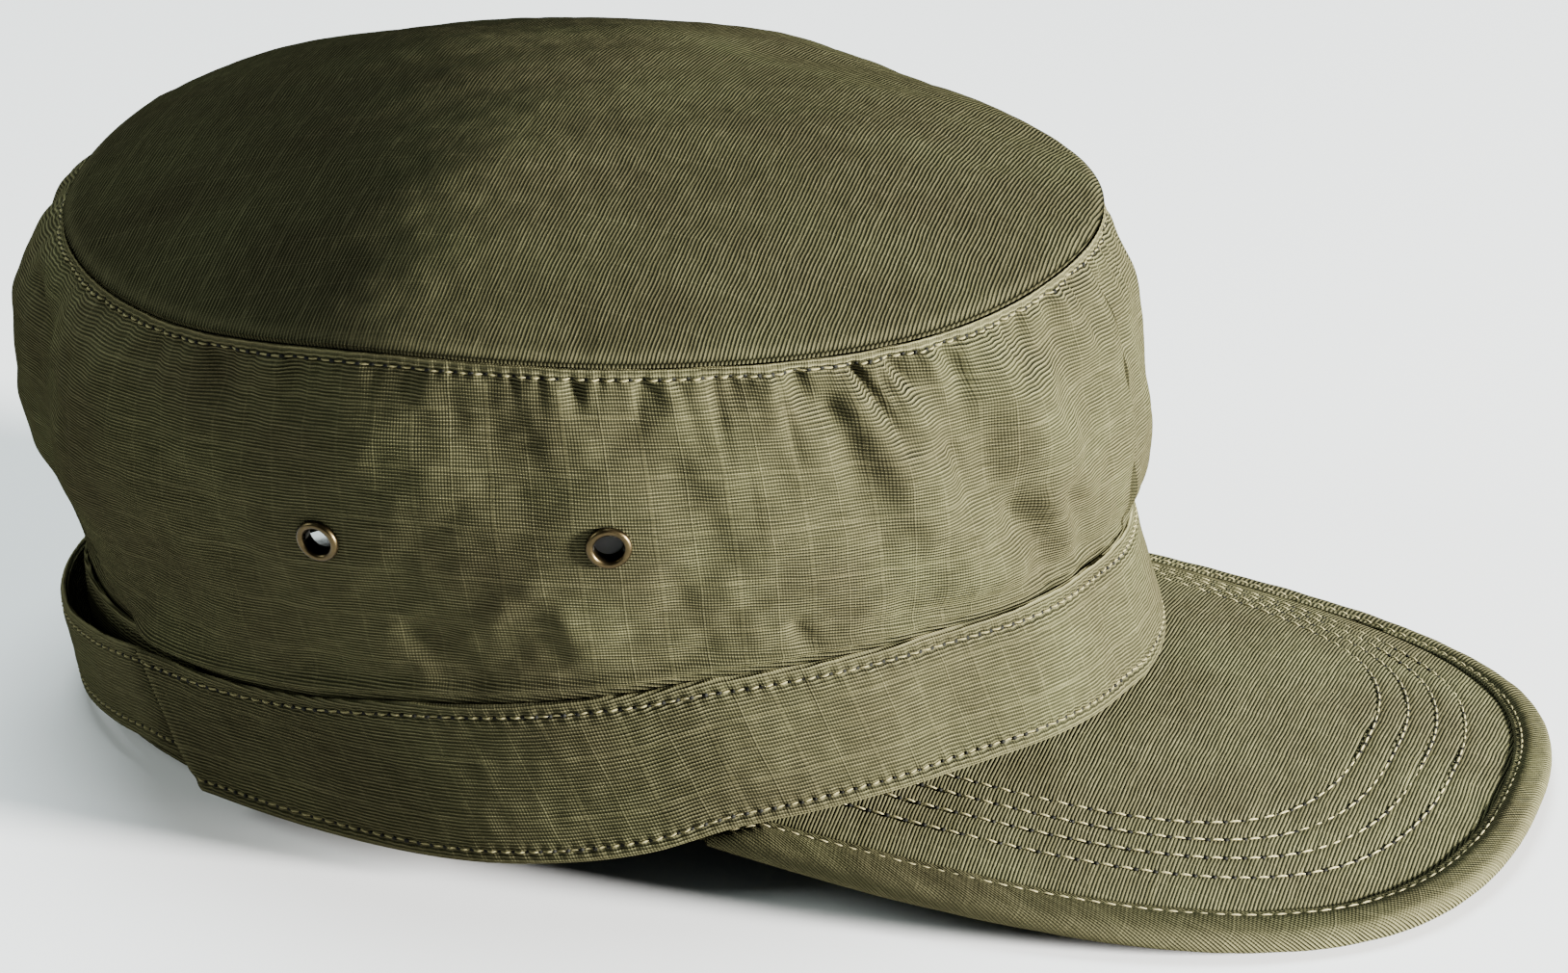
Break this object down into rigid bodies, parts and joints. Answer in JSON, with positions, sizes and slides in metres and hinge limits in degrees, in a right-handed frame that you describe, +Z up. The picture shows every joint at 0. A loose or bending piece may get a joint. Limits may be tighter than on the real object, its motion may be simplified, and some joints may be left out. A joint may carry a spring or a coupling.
{
  "type": "combat cap",
  "caption": "Soft field cap with a round gathered crown, stitched band, bound curved peak, side eyelets and a strap across the back.",
  "frame": {"origin": "middle of the cap's footprint, on the surface it stands on", "axes": "+Z up, +Y towards the back of the cap, so the peak points along -Y, and +X towards the wearer's left"},
  "size_m": [0.1918, 0.2778, 0.1183],
  "materials": {
    "cloth": "olive ripstop cotton, matt",
    "brass": "darkened brass, half gloss"
  },
  "bodies": {
    "root": {"crown_top": "cloth", "crown_wall": "cloth", "band": "cloth", "rear_band": "cloth", "rear_strap": "cloth", "peak": "cloth", "peak_binding": "cloth", "eyelet_right_front": "brass", "eyelet_right_rear": "brass", "eyelet_left_front": "brass", "eyelet_left_rear": "brass"}
  },
  "joints": []
}
